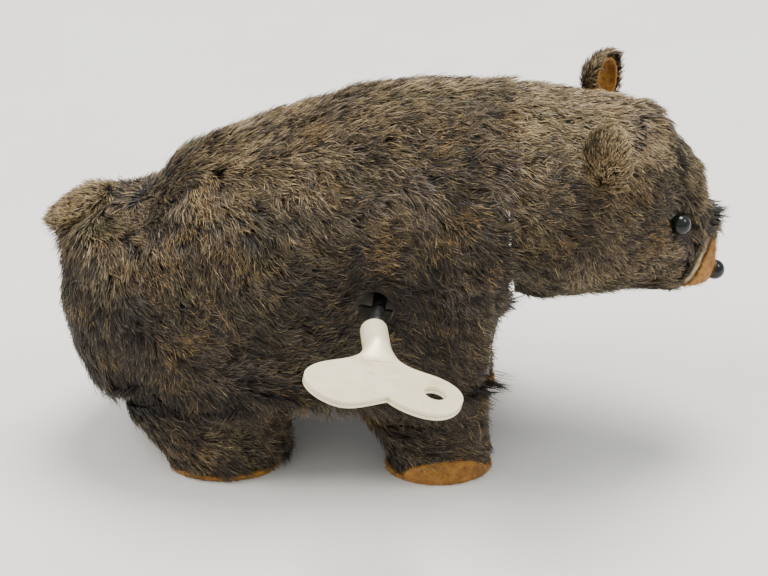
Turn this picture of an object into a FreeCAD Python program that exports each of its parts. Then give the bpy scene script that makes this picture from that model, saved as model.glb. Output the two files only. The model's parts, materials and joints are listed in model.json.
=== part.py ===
import FreeCAD, Part
import math
import os
import Sketcher

# A clockwork walking bear: fur cloth over pressed-tin body and head shells, four swinging legs, a head
# that nods on a neck pin, and a spring motor wound by a folded key in the right side.
# Millimetres. +X is the nose, +Y the bear's left, +Z up. Everything is modelled about a point of the floor
# on the mid-plane; write() then moves it all to put the origin under the middle of the right front sole.

V = FreeCAD.Vector

SIZES = {
    # skins, outside to inside
    "fur_thickness": 3.0,
    "glue_gap": 0.2,
    "tin_thickness": 0.5,
    "half_gap": 0.02,
    "snug": 0.02,
    "running": 0.05,
    # body outline seen from the side
    "skirt_z": 25.6,
    "rump_edge_x": -65.5,
    "rump_edge_z": 21.5,
    "chest_x": 24.6,
    "throat_x": 29.3,
    "throat_z": 38.0,
    "neck_top_x": 26.8,
    "neck_top_z": 96.0,
    "head_back_top_x": 28.8,
    "head_back_low_x": 31.3,
    # key and its hole
    "key_axis_x": 0.0,
    "key_axis_z": 50.4,
    "key_hole_x": -1.3,
    "key_hole_z": 50.4,
    "key_hole_radius": 4.7,
    "key_tilt": 14.7,
    "key_lean": 9.0,
    "key_pivot_y": -42.0,
    "key_bore_radius": 2.1,
    "barrel_radius": 3.1,
    "barrel_start": 39.5,
    "barrel_end": 46.5,
    "wing_start": 50.2,
    "arbor_out": 44.5,
    "arbor_in": 11.2,
    "layer_thickness": 0.72,
    "layer_gap": 0.14,
    "key_eye_radius": 2.5,
    "key_eye_x": 11.3,
    "key_eye_reach": 13.6,
    # hips, legs and feet
    "hip_z": 37.0,
    "front_hip_x": 9.8,
    "rear_hip_x": -44.3,
    "hip_axle_radius": 1.2,
    "hip_axle_half": 18.0,
    "leg_mid_y": 19.5,
    "front_bulge_radius": 14.0,
    "rear_bulge_radius": 18.3,
    "bulge_gap": 0.6,
    "sole_thickness": 1.4,
    "lever_thickness": 0.8,
    "front_lever_y": 14.2,
    "rear_lever_y": 15.4,
    "lever_half_width": 3.0,
    "lever_arm_half": 2.0,
    "lever_hub_radius": 4.0,
    "lever_slot_half": 6.2,
    "lever_slot_radius": 1.2,
    "lever_foot_z": 9.0,
    "collar_radius": 2.6,
    "collar_y": 16.6,
    "collar_width": 1.2,
    # motor
    "plate_y": 9.5,
    "plate_thickness": 0.8,
    "pillar_radius": 1.5,
    "tenon_radius": 0.9,
    "arbor_radius": 1.6,
    "crank_x": -16.08,
    "crank_z": 43.5,
    "crank_axle_radius": 1.2,
    "crank_axle_half": 12.3,
    "crank_disc_radius": 5.6,
    "crank_disc_thickness": 1.0,
    "crank_throw": 3.8,
    "crank_pin_radius": 1.0,
    "wheel_module": 0.7,
    "main_teeth": 40,
    "crank_teeth": 10,
    "crank_gear_module": 0.5,
    "crank_gear_teeth": 36,
    "escape_pinion_teeth": 9,
    "escape_angle": 150.0,
    "escape_arbor_radius": 0.8,
    "escape_arbor_half": 10.8,
    "escape_wheel_y": 1.0,
    "escape_wheel_radius": 6.0,
    "escape_wheel_teeth": 10,
    "pallet_x": -34.28,
    "pallet_z": 51.6,
    "ratchet_teeth": 12,
    "ratchet_tip": 6.2,
    "ratchet_root": 4.8,
    "click_x": 9.4,
    "click_z": 48.4,
    "rivet_radius": 0.6,
    "spring_inner": 2.0,
    "spring_outer": 12.6,
    "spring_turns": 9,
    "spring_strip": 0.35,
    # neck
    "neck_pin_x": 26.5,
    "neck_pin_z": 80.0,
    "neck_pin_radius": 1.0,
    # face
    "nose_radius": 2.4,
    "eye_radius": 2.4,
    "ear_x": 52.5,
    "ear_y": 21.0,
    "ear_z": 84.0,
    "ear_turn": -30.0,
}

# Stations of the two skins: x, height of the widest line, half width, rise above it, fall below it.
BODY_STATIONS = [
    (-79.5, 46.5, 5.5, 6.0, 9.0),
    (-77.0, 44.5, 12.0, 14.0, 18.0),
    (-71.8, 41.5, 19.5, 19.6, 23.5),
    (-67.0, 40.0, 24.3, 23.0, 29.5),
    (-57.3, 38.0, 28.5, 26.8, 36.0),
    (-52.5, 38.0, 30.0, 31.6, 41.0),
    (-46.0, 38.7, 31.2, 35.6, 48.0),
    (-38.0, 39.0, 32.5, 38.9, 58.0),
    (-18.8, 40.0, 33.0, 45.0, 70.0),
    (0.0, 41.0, 33.0, 49.8, 70.0),
    (15.0, 44.0, 32.8, 48.2, 60.0),
    (24.0, 52.0, 31.0, 40.2, 45.0),
    (29.5, 64.0, 28.0, 27.9, 27.0),
    (34.0, 66.0, 27.0, 25.8, 25.5),
]
HEAD_STATIONS = [
    (24.0, 66.0, 26.6, 25.8, 26.3),
    (34.0, 66.0, 27.2, 25.5, 26.4),
    (44.0, 65.5, 27.5, 24.4, 24.2),
    (54.0, 65.0, 25.5, 24.0, 23.5),
    (63.0, 61.5, 21.0, 24.6, 20.6),
    (68.0, 56.5, 17.2, 22.2, 15.6),
    (72.4, 52.5, 14.0, 19.8, 11.3),
    (76.4, 50.0, 9.5, 13.2, 8.8),
    (78.9, 50.0, 5.0, 7.0, 5.5),
]
# Stations of a leg: height, middle ahead of the hip, half length, half width.
LEG_STATIONS = {
    "front": [
        (1.4, 2.4, 13.2, 9.2),
        (7.0, 1.5, 14.0, 10.0),
        (15.0, -0.8, 15.8, 10.2),
        (30.0, -1.3, 16.3, 10.2),
    ],
    "rear": [
        (1.4, 3.8, 14.0, 8.8),
        (7.0, 4.1, 17.3, 10.0),
        (14.0, 1.8, 20.0, 10.2),
        (30.0, -0.7, 20.0, 10.2),
    ],
}
# Outline of a leg's top: the arc about the hip reaches this far back and ahead, then falls to a corner.
LEG_TOPS = {
    "front": {"arc": (-6.2, 6.2), "back": (-18.0, 22.5), "ahead": (18.0, 22.5)},
    "rear": {"arc": (-10.3, 12.0), "back": (-22.0, 17.0), "ahead": (20.7, 21.8)},
}
# Motor plates seen from the side: pillar positions and outline, as (x, z).
PILLARS = [(13.0, 63.5), (17.0, 42.0), (-24.0, 64.0), (-51.0, 38.0)]
PLATE_OUTLINE = [(-54.5, 31.5), (-51.0, 46.0), (-38.0, 56.0), (-27.0, 66.5), (16.5, 67.0), (18.0, 60.0),
                 (17.5, 49.0), (20.5, 45.0), (20.5, 38.0), (16.0, 31.0), (-30.0, 31.0)]
# The key's two wings from the root round to the notch, as (along, out from the root).
KEY_WINGS = [
    [(3.4, 0.0), (8.0, 5.0), (14.0, 7.6), (17.2, 11.8), (16.2, 17.6), (10.8, 21.8), (4.6, 20.6), (0.6, 17.4)],
    [(0.6, 17.4), (-4.2, 20.2), (-9.8, 22.0), (-15.4, 18.8), (-17.4, 13.0), (-14.2, 8.0), (-8.0, 4.4),
     (-3.4, 0.0)],
]
# The flare from barrel to wings: distance past the barrel, half width along the wings, half thickness.
KEY_FLARE = [(2.0, 3.3, 2.7), (5.0, 4.6, 1.5), (7.5, 6.0, 0.95)]
SIDES = {"left": 1, "right": -1}
LARGE = 60.0


# ---------------------------------------------------------------- document and shared helpers


def make_sheet(doc):
    sheet = doc.addObject("Spreadsheet::Sheet", "Sizes")
    for row, (alias, value) in enumerate(SIZES.items(), start=1):
        sheet.set(f"A{row}", alias)
        sheet.set(f"B{row}", str(value))
        sheet.setAlias(f"B{row}", alias)
    doc.recompute()
    return sheet


def size(doc, name):
    return float(doc.Sizes.get(name))


def feature(doc, label, shape, placement=None):
    """A sub-part whose free form neither sketches nor primitives can make."""
    thing = doc.addObject("Part::Feature", label)
    thing.Shape = shape
    thing.Placement = placement or shape.Placement
    return thing


def bind(thing, **expressions):
    for name, expression in expressions.items():
        thing.setExpression(name, expression)
    return thing


def place(thing, x="0", y="0", z="0"):
    for axis, expression in zip("xyz", (x, y, z)):
        thing.setExpression(f"Placement.Base.{axis}", expression)
    return thing


def rod(doc, name, radius, start, end, x, z):
    """A Part::Cylinder along Y, from start to end, each of them an expression."""
    thing = doc.addObject("Part::Cylinder", name)
    thing.Placement = FreeCAD.Placement(V(), FreeCAD.Rotation(V(1, 0, 0), -90))
    bind(thing, Radius=radius, Height=f"({end}) - ({start})")
    return place(thing, x, start, z)


def combine(doc, kind, name, *things):
    """Part::Cut or Part::MultiFuse of document objects."""
    result = doc.addObject(kind, name)
    if kind == "Part::Cut":
        result.Base, result.Tool = things
    else:
        result.Shapes = list(things)
    return result


def radius_constraint(index):
    return Sketcher.Constraint("Radius", index, 1.0)


def slab(doc, name, outline, low_y, thickness, holes=()):
    """A PartDesign body: an outline in the XZ plane and its round holes, padded along Y from low_y.

    outline is a list of Part curves; each hole is (x, z, radius expression)."""
    body = doc.addObject("PartDesign::Body", name)
    sketch = body.newObject("Sketcher::SketchObject", f"{name}_outline")
    plane = next(o for o in body.Origin.OriginFeatures if o.Role == "XZ_Plane")
    sketch.AttachmentSupport = [(plane, "")]
    sketch.MapMode = "FlatFace"
    sketch.setExpression("AttachmentOffset.Base.z", f"-(({low_y}) + ({thickness}))")
    sketch.addGeometry(outline, False)
    for x, z, radius in holes:
        index = sketch.addGeometry(Part.Circle(V(x, z, 0), V(0, 0, 1), 1.0), False)
        number = sketch.addConstraint(radius_constraint(index))
        sketch.setExpression(f"Constraints[{number}]", radius)
    pad = body.newObject("PartDesign::Pad", f"{name}_pad")
    pad.Profile = sketch
    pad.setExpression("Length", thickness)
    body.Tip = pad
    return body


def polygon(points):
    corners = [V(x, z, 0) for x, z in points]
    return [Part.LineSegment(a, b) for a, b in zip(corners, corners[1:] + corners[:1])]


def stadium(start, end, half_width):
    """The outline of a bar with round ends between two points of the XZ plane."""
    a, b = V(*start, 0), V(*end, 0)
    along = (b - a).normalize() * half_width
    across = V(-along.y, along.x, 0)
    return [
        Part.LineSegment(a + across, b + across),
        Part.Arc(b + across, b + along, b - across),
        Part.LineSegment(b - across, a - across),
        Part.Arc(a - across, a - along, a + across),
    ]


def xz_prism(curves, low=-LARGE, high=LARGE):
    """Part curves drawn in the XZ plane (x, 0, z), filled and extruded from low to high along Y."""
    edges = [c.toShape() if hasattr(c, "toShape") else c for c in curves]
    face = Part.Face(Part.Wire(Part.__sortEdges__(edges)))
    solid = face.extrude(V(0, high - low, 0))
    solid.translate(V(0, low, 0))
    return solid


def xz_polygon(points):
    corners = [V(x, 0, z) for x, z in points]
    return [Part.LineSegment(a, b) for a, b in zip(corners, corners[1:] + corners[:1])]


def drill(x, z, radius, low=-LARGE, high=LARGE):
    return Part.makeCylinder(radius, high - low, V(x, low, z), V(0, 1, 0))


# ---------------------------------------------------------------- skins of the body and the head


def oval(x, mid, half_width, rise, fall):
    """A closed wire across X: an upper and a lower half ellipse that share the widest line."""
    halves = []
    for height, start, top, end in ((rise, -1, 1, 1), (fall, 1, -1, -1)):
        arc = Part.Arc(V(0, start, 0), V(0, 0, top), V(0, end, 0)).toShape()
        matrix = FreeCAD.Matrix()
        matrix.scale(V(1, half_width, height))
        halves.append(arc.transformGeometry(matrix).translated(V(x, 0, mid)))
    return Part.Wire(halves)


def smooth(stations, count):
    """The stations' five numbers read at count even steps along smooth curves through them."""
    travel = [0.0]
    for a, b in zip(stations, stations[1:]):
        travel.append(travel[-1] + math.dist(a, b))
    curves = []
    upper = [V(x, half_width, rise) for x, _, half_width, rise, _ in stations]
    lower = [V(mid, fall) for _, mid, _, _, fall in stations]
    for points in (upper, lower):
        curve = Part.BSplineCurve()
        curve.interpolate(Points=points, Parameters=travel)
        curves.append(curve)
    even = [travel[-1] * step / (count - 1) for step in range(count)]
    read = [(curves[0].value(at), curves[1].value(at)) for at in even]
    return [(first.x, second.x, first.y, first.z, second.y) for first, second in read]


def skin(stations, inset, tip_x, flat_x):
    """The solid inside a skin, inset all round. Towards tip_x the inset also draws the end in."""
    wires = []
    for x, mid, half_width, rise, fall in smooth(stations, 2 * len(stations)):
        share = min(1.0, max(0.0, (x - flat_x) / (tip_x - flat_x)))
        drawn = x - math.copysign(inset * share, tip_x)
        wires.append(oval(drawn, mid, half_width - inset, rise - inset, fall - inset))
    return Part.makeLoft(wires, True, True)


def body_skin(inset):
    return skin(BODY_STATIONS, inset, BODY_STATIONS[0][0], -57.3)


def head_skin(inset):
    return skin(HEAD_STATIONS, inset, HEAD_STATIONS[-1][0], 63.0)


def layers(doc):
    """Insets of the fur's inside, the tin's outside and the tin's inside."""
    fur = size(doc, "fur_thickness")
    tin_out = fur + size(doc, "glue_gap")
    return fur, tin_out, tin_out + size(doc, "tin_thickness")


def bulge(doc, end):
    """The skirt's lower edge over one leg, an arc about the hip: its two ends and its lowest point."""
    hip_x, hip_z = size(doc, f"{end}_hip_x"), size(doc, "hip_z")
    radius = size(doc, f"{end}_bulge_radius")
    reach = math.sqrt(radius**2 - (hip_z - size(doc, "skirt_z")) ** 2)
    back = reach - 1.4 if end == "rear" else reach
    back_z = hip_z - math.sqrt(radius**2 - back**2)
    return (
        V(hip_x + reach, 0, size(doc, "skirt_z")),
        V(hip_x, 0, hip_z - radius),
        V(hip_x - back, 0, back_z),
    )


def body_zone(doc):
    """Everything behind the neck and above the skirt's lower edge."""
    front, rear = bulge(doc, "front"), bulge(doc, "rear")
    skirt = size(doc, "skirt_z")
    top = size(doc, "neck_top_z")
    rump_z = size(doc, "rump_edge_z")
    path = [
        V(size(doc, "neck_top_x"), 0, top),
        V(size(doc, "throat_x"), 0, size(doc, "throat_z")),
        V(size(doc, "chest_x"), 0, skirt),
        front[0],
    ]
    after = [rear[2], V(size(doc, "rump_edge_x"), 0, rump_z), V(-2 * LARGE, 0, rump_z), V(-2 * LARGE, 0, top)]
    curves = [Part.LineSegment(a, b) for a, b in zip(path, path[1:])]
    curves.append(Part.Arc(*front))
    curves.append(Part.LineSegment(front[2], rear[0]))
    curves.append(Part.Arc(*rear))
    curves += [Part.LineSegment(a, b) for a, b in zip(after, after[1:] + path[:1])]
    return xz_prism(curves)


def head_zone(doc):
    low, high = 30.0, 100.0
    top_x, low_x = size(doc, "head_back_top_x"), size(doc, "head_back_low_x")
    return xz_prism(xz_polygon([(top_x, high), (low_x, low), (2 * LARGE, low), (2 * LARGE, high)]))


def split(doc, label, shell):
    """The left and right pressings of a shell."""
    gap = size(doc, "half_gap")
    made = []
    for side, sign in SIDES.items():
        half = Part.makeBox(4 * LARGE, 2 * LARGE, 4 * LARGE, V(-2 * LARGE, 0, -2 * LARGE))
        half.translate(V(0, gap if sign > 0 else -2 * LARGE - gap, 0))
        made.append(feature(doc, f"{side}_{label}", shell.common(half)))
    return made


def make_body_skins(doc):
    fur, tin_out, tin_in = layers(doc)
    zone = body_zone(doc)
    hole = drill(size(doc, "key_hole_x"), size(doc, "key_hole_z"), size(doc, "key_hole_radius"), -LARGE, 0)
    fur_shape = body_skin(0).cut(body_skin(fur)).common(zone).cut(hole)
    shell = body_skin(tin_out).cut(body_skin(tin_in)).common(zone).cut(hole)
    return [feature(doc, "body_fur", fur_shape)] + split(doc, "body_shell", shell)


def make_tail(doc):
    """A flap of fur sewn over the rump, sloping down to the back."""
    flap = Part.makeSphere(1.0)
    matrix = FreeCAD.Matrix()
    matrix.scale(V(9.0, 6.5, 3.6))
    flap = flap.transformGeometry(matrix)
    flap.rotate(V(), V(0, 1, 0), -28)
    flap.translate(V(-73.5, 0, 61.0))
    return [feature(doc, "tail_flap", flap.cut(body_skin(-0.2)).cut(body_skin(0)))]


def muzzle_line(offset):
    """The edge of the face felt from under the jaw to the snout's bridge, moved ahead by offset."""
    return [
        (67.0 + offset, 30.0),
        (68.2 + 0.82 * offset, 44.5 - 0.58 * offset),
        (75.8 + 0.82 * offset, 57.5 - 0.58 * offset),
        (90.0, 60.0 - 0.9 * offset),
    ]


def muzzle_zone(near, far=None):
    """The space ahead of the felt's edge moved by near, and behind the edge moved by far."""
    start = muzzle_line(near)
    end = [(90.0, 30.0)] if far is None else muzzle_line(far)[::-1]
    return xz_prism(xz_polygon(start + end))


def eye_seats(outer):
    """Each eye's point on the head's surface and the way out of it."""
    seats = {}
    for side, sign in SIDES.items():
        outside = V(73.1, sign * 19.1, 65.7)
        seat = outer.distToShape(Part.Vertex(outside))[1][0][0]
        seats[side] = (seat, (outside - seat).normalize())
    return seats


def make_head(doc):
    fur, tin_out, tin_in = layers(doc)
    outer, zone = head_skin(0), head_zone(doc)
    seats = eye_seats(outer)
    nose = V(78.4, 0, 44.2)
    nose_seat = Part.makeSphere(size(doc, "nose_radius") + 0.1, nose)
    shank_hole = Part.makeCylinder(0.6, 12, nose - V(12, 0, 0), V(1, 0, 0))

    fur_shape = outer.cut(head_skin(fur)).common(zone).cut(muzzle_zone(0))
    shell = head_skin(tin_out).cut(head_skin(tin_in)).common(zone).cut(shank_hole)
    for seat, out in seats.values():
        fur_shape = fur_shape.cut(Part.makeCylinder(size(doc, "eye_radius") + 0.1, 9, seat - out * 4.5, out))
        shell = shell.cut(Part.makeCylinder(0.5, 12, seat - out * 9, out))
    made = [feature(doc, "head_fur", fur_shape)] + split(doc, "head_shell", shell)

    muzzle = head_skin(0.9).cut(head_skin(fur)).common(muzzle_zone(2.0)).cut(nose_seat).cut(shank_hole)
    edge = head_skin(1.2).cut(head_skin(fur)).common(muzzle_zone(0.1, 1.4)).cut(nose_seat).cut(shank_hole)
    made.append(feature(doc, "muzzle_felt", muzzle))
    made.append(feature(doc, "mouth_edge_felt", edge))
    made.append(make_nose(doc, nose))
    for side, (seat, out) in seats.items():
        made.append(make_eye(doc, side, seat, out))
    made += make_ears(doc)
    return made


def make_nose(doc, centre):
    """A glass bead on a wire shank."""
    bead = doc.addObject("Part::Sphere", "nose_ball")
    bead.Placement.Base = centre
    bind(bead, Radius="Sizes.nose_radius")
    shank = doc.addObject("Part::Cylinder", "nose_shank")
    shank.Radius, shank.Height = 0.5, 7
    shank.Placement = FreeCAD.Placement(centre, FreeCAD.Rotation(V(0, 0, 1), V(-1, 0, 0)))
    return combine(doc, "Part::MultiFuse", "nose_bead", bead, shank)


def make_eye(doc, side, seat, out):
    """A glass dome half sunk in the fur, on a wire shank through the tin."""
    ball = doc.addObject("Part::Sphere", f"{side}_eye_ball")
    ball.Placement.Base = seat - out * 0.5
    bind(ball, Radius="Sizes.eye_radius")
    shank = doc.addObject("Part::Cylinder", f"{side}_eye_shank")
    shank.Radius, shank.Height = 0.4, 6
    shank.Placement = FreeCAD.Placement(seat, FreeCAD.Rotation(V(0, 0, 1), out * -1))
    return combine(doc, "Part::MultiFuse", f"{side}_eye", ball, shank)


def ear_bowl(radii, hollow):
    """The back half of one ellipsoid outside another, open towards +X."""
    bowls = []
    for sizes in (radii, hollow):
        matrix = FreeCAD.Matrix()
        matrix.scale(V(*sizes))
        bowls.append(Part.makeSphere(1.0).transformGeometry(matrix))
    back = Part.makeBox(LARGE, 2 * LARGE, 2 * LARGE, V(-LARGE, -LARGE, -LARGE))
    return bowls[0].cut(bowls[1]).common(back)


def make_ears(doc):
    made = []
    head = head_skin(-0.1)
    for side, sign in SIDES.items():
        place_at = V(size(doc, "ear_x"), sign * size(doc, "ear_y"), size(doc, "ear_z"))
        for label, radii, hollow in (
            ("ear", (6.0, 6.8, 7.4), (4.4, 5.4, 6.0)),
            ("ear_lining", (4.3, 5.3, 5.9), (3.5, 4.5, 5.1)),
        ):
            bowl = ear_bowl(radii, hollow)
            bowl.rotate(V(), V(0, 0, 1), sign * size(doc, "ear_turn"))
            bowl.translate(place_at)
            made.append(feature(doc, f"{side}_{label}", bowl.cut(head)))
    return made


# ---------------------------------------------------------------- legs


def leg_skin(doc, end, sign, inset, bottom=0.0):
    """The solid inside a leg's skin. bottom raises its lowest section."""
    hip_x = size(doc, f"{end}_hip_x")
    wires = []
    for index, (z, ahead, half_length, half_width) in enumerate(LEG_STATIONS[end]):
        centre = V(hip_x + ahead, sign * size(doc, "leg_mid_y"), z + (bottom if index == 0 else 0))
        wires.append(Part.Wire(Part.Ellipse(centre, half_length - inset, half_width - inset).toShape()))
    return Part.makeLoft(wires, True, False)


def leg_zone(doc, end):
    """Below the leg's top: an arc about the hip that clears the skirt, then a corner each way."""
    hip_x, hip_z = size(doc, f"{end}_hip_x"), size(doc, "hip_z")
    radius = size(doc, f"{end}_bulge_radius") + size(doc, "bulge_gap")
    top = LEG_TOPS[end]
    (back, ahead), low = top["arc"], -5.0
    arc = [V(hip_x + dx, 0, hip_z - math.sqrt(radius**2 - dx**2)) for dx in (ahead, 0, back)]
    left = V(hip_x + top["back"][0], 0, top["back"][1])
    right = V(hip_x + top["ahead"][0], 0, top["ahead"][1])
    path = [arc[2], left, V(left.x, 0, low), V(right.x, 0, low), right, arc[0]]
    curves = [Part.Arc(*arc)] + [Part.LineSegment(a, b) for a, b in zip(path, path[1:])]
    return xz_prism(curves)


def paw_lens(doc, sign):
    """Where the front paw's felt turns up over the outer side: a lens seen from the side."""
    lens = Part.Ellipse(V(size(doc, "front_hip_x") + 4.3, 0.8, 0), 10.0, 6.4).toShape()
    face = Part.Face(Part.Wire(lens))
    face.rotate(V(), V(1, 0, 0), 90)
    inner, outer = 21.0, 40.0
    solid = face.extrude(V(0, outer - inner, 0))
    solid.translate(V(0, inner if sign > 0 else -outer, 0))
    return solid


def make_leg(doc, end, side):
    sign = SIDES[side]
    name = f"{end}_{side}"
    fur, tin_out, tin_in = layers(doc)
    zone = leg_zone(doc, end)
    outer = leg_skin(doc, end, sign, 0)
    fur_shape = outer.cut(leg_skin(doc, end, sign, fur)).common(zone)
    cup = leg_skin(doc, end, sign, tin_out, 0.1).cut(leg_skin(doc, end, sign, tin_in, 0.6)).common(zone)

    z, ahead, half_length, half_width = LEG_STATIONS[end][0]
    centre = V(size(doc, f"{end}_hip_x") + ahead, sign * size(doc, "leg_mid_y"), 0)
    pad = Part.Face(Part.Wire(Part.Ellipse(centre, half_length - 0.3, half_width - 0.3).toShape()))
    sole = pad.extrude(V(0, 0, size(doc, "sole_thickness")))
    if end == "front":
        lens = paw_lens(doc, sign)
        lip = outer.cut(leg_skin(doc, end, sign, 1.2)).common(lens)
        sole = sole.fuse(lip).removeSplitter()
        fur_shape = fur_shape.cut(outer.cut(leg_skin(doc, end, sign, 1.3)).common(lens))
    return [
        feature(doc, f"{name}_leg_fur", fur_shape),
        feature(doc, f"{name}_leg_cup", cup),
        feature(doc, f"{name}_sole", sole),
        make_lever(doc, end, side),
    ]


def make_lever(doc, end, side):
    """A flat strip from the cup up to the hip, with an arm whose slot rides on the crank pin."""
    sign, name = SIDES[side], f"{end}_{side}_leg_lever"
    hip_x, hip_z = size(doc, f"{end}_hip_x"), size(doc, "hip_z")
    crank_x, crank_z = size(doc, "crank_x"), size(doc, "crank_z")
    half, arm, hub = (size(doc, f"lever_{part}") for part in ("half_width", "arm_half", "hub_radius"))
    slot_half, slot_radius = size(doc, "lever_slot_half"), size(doc, "lever_slot_radius")
    low_z = size(doc, "lever_foot_z")
    forward = 1 if crank_x > hip_x else -1
    strip = Part.makeBox(2 * half, 1, hip_z - low_z, V(hip_x - half, 0, low_z))
    reach = slot_half + 1.6
    end_x = crank_x + forward * (reach - arm)
    bar = xz_prism(bar_curves(hip_x, hip_z, end_x, crank_z, arm), 0, 1)
    eye = 0.7 * slot_half
    round_end = xz_prism(bar_curves(crank_x - eye, crank_z, crank_x + eye, crank_z, arm + 0.9), 0, 1)
    boss = drill(hip_x, hip_z, hub, 0, 1)
    profile = strip.fuse([bar, round_end, boss])
    slot_run = slot_half - slot_radius
    slot = xz_prism(bar_curves(crank_x - slot_run, crank_z, crank_x + slot_run, crank_z, slot_radius), -1, 2)
    bore = drill(hip_x, hip_z, size(doc, "hip_axle_radius") + size(doc, "running"), -1, 2)
    flat = profile.cut([slot, bore]).removeSplitter()
    matrix = FreeCAD.Matrix()
    matrix.scale(V(1, size(doc, "lever_thickness"), 1))
    flat = flat.transformGeometry(matrix)
    inner = size(doc, f"{end}_lever_y")
    flat.translate(V(0, inner if sign > 0 else -inner - size(doc, "lever_thickness"), 0))
    return feature(doc, name, flat)


def bar_curves(x0, z0, x1, z1, half_width):
    """A bar with round ends in the XZ plane, as 3D curves."""
    flat = stadium((x0, z0), (x1, z1), half_width)
    turned = []
    for curve in flat:
        shape = curve.toShape()
        shape.rotate(V(), V(1, 0, 0), 90)
        turned.append(shape)
    return turned


def make_hips(doc):
    """Two axles through the motor plates, and pressed collars that keep the levers on them."""
    made, collars = [], []
    half = "Sizes.hip_axle_half"
    for end in ("front", "rear"):
        x = f"Sizes.{end}_hip_x"
        made.append(rod(doc, f"{end}_hip_axle", "Sizes.hip_axle_radius", f"-{half}", half, x, "Sizes.hip_z"))
        for side, sign in SIDES.items():
            near, far = "Sizes.collar_y", "Sizes.collar_y + Sizes.collar_width"
            start, stop = (near, far) if sign > 0 else (f"-({far})", f"-{near}")
            tag = f"{end}_{side}_collar"
            disc = rod(doc, f"{tag}_disc", "Sizes.collar_radius", start, stop, x, "Sizes.hip_z")
            bore_radius = "Sizes.hip_axle_radius + Sizes.snug"
            bore = rod(doc, f"{tag}_bore", bore_radius, f"({start}) - 1", f"({stop}) + 1", x, "Sizes.hip_z")
            collars.append(combine(doc, "Part::Cut", tag, disc, bore))
    made.append(group(doc, "axle_collars", collars))
    return made


def group(doc, label, things):
    """Identical small pieces that share one sub-part as separate solids."""
    compound = doc.addObject("Part::Compound", label)
    compound.Links = things
    return compound


# ---------------------------------------------------------------- the spring motor


def plate_holes(doc):
    hip, running, snug = "Sizes.hip_axle_radius", "Sizes.running", "Sizes.snug"
    escape_x, escape_z = escape_centre(doc)
    tenon = f"Sizes.tenon_radius + {snug}"
    holes = [
        (size(doc, "key_axis_x"), size(doc, "key_axis_z"), f"Sizes.arbor_radius + {running}"),
        (size(doc, "crank_x"), size(doc, "crank_z"), f"Sizes.crank_axle_radius + {running}"),
        (escape_x, escape_z, f"Sizes.escape_arbor_radius + {running}"),
        (size(doc, "pallet_x"), size(doc, "pallet_z"), f"Sizes.escape_arbor_radius + {running}"),
        (size(doc, "front_hip_x"), size(doc, "hip_z"), f"{hip} + {snug}"),
        (size(doc, "rear_hip_x"), size(doc, "hip_z"), f"{hip} + {snug}"),
    ]
    return holes + [(x, z, tenon) for x, z in PILLARS]


def make_frame(doc):
    made = []
    for side, sign in SIDES.items():
        low = "Sizes.plate_y" if sign > 0 else "-Sizes.plate_y - Sizes.plate_thickness"
        made.append(slab(
            doc, f"{side}_motor_plate", polygon(PLATE_OUTLINE), low, "Sizes.plate_thickness", plate_holes(doc)
        ))
    pillars = []
    reach = "Sizes.plate_y + Sizes.plate_thickness + 0.4"
    for index, (x, z) in enumerate(PILLARS):
        name, at = f"pillar_{index}", (str(x), str(z))
        body = rod(doc, f"{name}_body", "Sizes.pillar_radius", "-Sizes.plate_y", "Sizes.plate_y", *at)
        tenon = rod(doc, f"{name}_tenon", "Sizes.tenon_radius", f"-({reach})", reach, *at)
        pillars.append(combine(doc, "Part::MultiFuse", name, body, tenon))
    made.append(group(doc, "plate_pillars", pillars))
    made.append(make_straps(doc))
    return made


def make_straps(doc):
    """Tin straps from the plates out to the shell, two each side."""
    inside = body_skin(layers(doc)[2] + 0.1)
    start = size(doc, "plate_y") + size(doc, "plate_thickness") + 0.05
    straps = []
    for x, z in ((2.0, 58.0), (-38.0, 54.0)):
        for sign in SIDES.values():
            box = Part.makeBox(6, LARGE, 0.8, V(x, start if sign > 0 else -LARGE - start, z))
            straps.append(box.common(inside).Solids[0])
    return feature(doc, "motor_straps", Part.makeCompound(straps))


def gear_points(teeth, module, addendum, dedendum, slack):
    """The outline of an involute wheel about the origin, a tooth on the +X axis, as (x, z) points."""
    pitch = module * teeth / 2
    pressure = math.radians(20)
    base = pitch * math.cos(pressure)
    tip, root = pitch + addendum * module, pitch - dedendum * module

    def half_angle(radius):
        at_pitch = math.pi / (2 * teeth) - slack / (2 * pitch)
        if radius <= base:
            return at_pitch + math.tan(pressure) - pressure
        turn = math.acos(base / radius)
        return at_pitch + (math.tan(pressure) - pressure) - (math.tan(turn) - turn)

    radii = [root, max(base, root + 0.01), pitch, tip]
    points = []
    for tooth in range(teeth):
        centre = 2 * math.pi * tooth / teeth
        flank = [(r, centre - half_angle(r)) for r in radii]
        points += flank + [(r, 2 * centre - angle) for r, angle in flank[::-1]]
    return [(r * math.cos(angle), r * math.sin(angle)) for r, angle in points]


def star_points(teeth, tip, root, lean):
    """The outline of a wheel of pointed teeth, each point leaning by a share of the pitch."""
    points = []
    for tooth in range(teeth):
        start = 2 * math.pi * tooth / teeth
        points.append((root * math.cos(start), root * math.sin(start)))
        peak = start + 2 * math.pi / teeth * lean
        points.append((tip * math.cos(peak), tip * math.sin(peak)))
    return points


def wheel(doc, label, points, x, z, low_y, thickness, bore, turn=0.0):
    """A toothed wheel: its outline turned about its own axis, extruded along Y, and bored."""
    solid = xz_prism(xz_polygon(points), low_y, low_y + thickness)
    solid.rotate(V(), V(0, 1, 0), turn)
    solid.translate(V(x, 0, z))
    return feature(doc, label, solid.cut(drill(x, z, bore)))


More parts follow.
